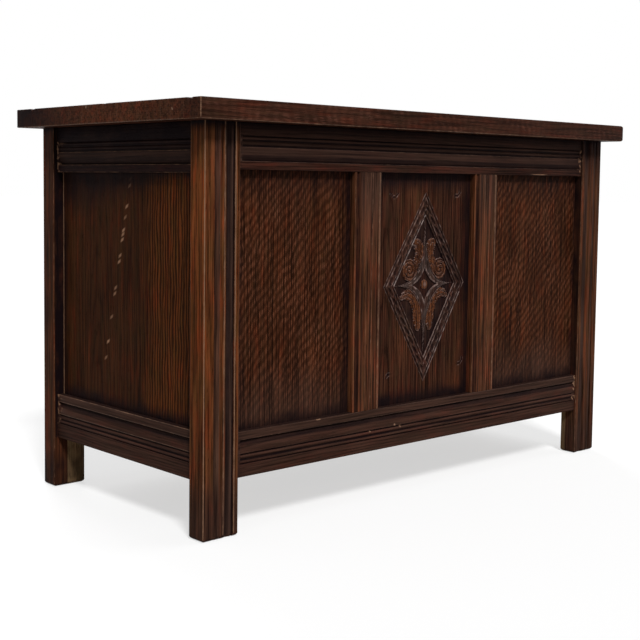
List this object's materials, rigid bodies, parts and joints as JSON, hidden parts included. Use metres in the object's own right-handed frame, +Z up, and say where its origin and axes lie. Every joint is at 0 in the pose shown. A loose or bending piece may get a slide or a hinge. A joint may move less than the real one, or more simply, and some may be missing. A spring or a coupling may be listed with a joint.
{
  "type": "blanket chest",
  "caption": "Joined oak blanket chest with a panelled and moulded frame, a carved lozenge on the middle front panel, and a lid hinged to a fixed strip at the back.",
  "frame": {"origin": "on the ground, at the middle of the whole chest with its lid closed", "axes": "+X to the right along the front, +Y from front to back, +Z up"},
  "size_m": [1.016, 0.5084, 0.6335],
  "materials": {
    "oak_frame": "dark stained oak with a satin wax",
    "oak_panel": "dark stained figured oak with a satin wax",
    "oak_lid": "dark red-brown stained oak with a satin wax",
    "oak_inside": "plain unstained oak",
    "brass": "dull aged brass",
    "steel": "dull steel"
  },
  "bodies": {
    "carcase": {"floor_board_1": "oak_inside", "floor_board_2": "oak_inside", "floor_board_3": "oak_inside", "floor_board_4": "oak_inside", "front_bottom_rail": "oak_frame", "front_carved_panel": "oak_panel", "front_floor_bearer": "oak_inside", "front_left_muntin": "oak_frame", "front_left_panel": "oak_panel", "front_left_post": "oak_frame", "front_right_muntin": "oak_frame", "front_right_panel": "oak_panel", "front_right_post": "oak_frame", "front_top_rail": "oak_frame", "hinge_fixed_leaf_left": "brass", "hinge_fixed_leaf_right": "brass", "hinge_pin_left": "steel", "hinge_pin_right": "steel", "hinge_screw_fixed_left_left": "steel", "hinge_screw_fixed_left_right": "steel", "hinge_screw_fixed_right_left": "steel", "hinge_screw_fixed_right_right": "steel", "hinge_strip": "oak_lid", "left_bottom_rail": "oak_frame", "left_end_panel": "oak_panel", "left_top_rail": "oak_frame", "rear_bottom_rail": "oak_frame", "rear_floor_bearer": "oak_inside", "rear_left_panel": "oak_panel", "rear_left_post": "oak_frame", "rear_muntin": "oak_frame", "rear_right_panel": "oak_panel", "rear_right_post": "oak_frame", "rear_top_rail": "oak_frame", "right_bottom_rail": "oak_frame", "right_end_panel": "oak_panel", "right_top_rail": "oak_frame", "strip_screw_left": "steel", "strip_screw_right": "steel"},
    "lid": {"batten_screw_left_back": "steel", "batten_screw_left_front": "steel", "batten_screw_right_back": "steel", "batten_screw_right_front": "steel", "hinge_lid_leaf_left": "brass", "hinge_lid_leaf_right": "brass", "hinge_screw_lid_left_left": "steel", "hinge_screw_lid_left_right": "steel", "hinge_screw_lid_right_left": "steel", "hinge_screw_lid_right_right": "steel", "lid_back_board": "oak_lid", "lid_batten_left": "oak_inside", "lid_batten_right": "oak_inside", "lid_front_board": "oak_lid", "lid_front_strip": "oak_lid", "lid_front_tongue": "oak_inside", "lid_middle_tongue": "oak_inside"}
  },
  "joints": [
    {"name": "lid_hinge", "type": "hinge", "parent": "carcase", "child": "lid", "pos_m": [0, 0.20185, 0.63], "axis": [-1, 0, 0], "range_deg": [0, 100]}
  ]
}
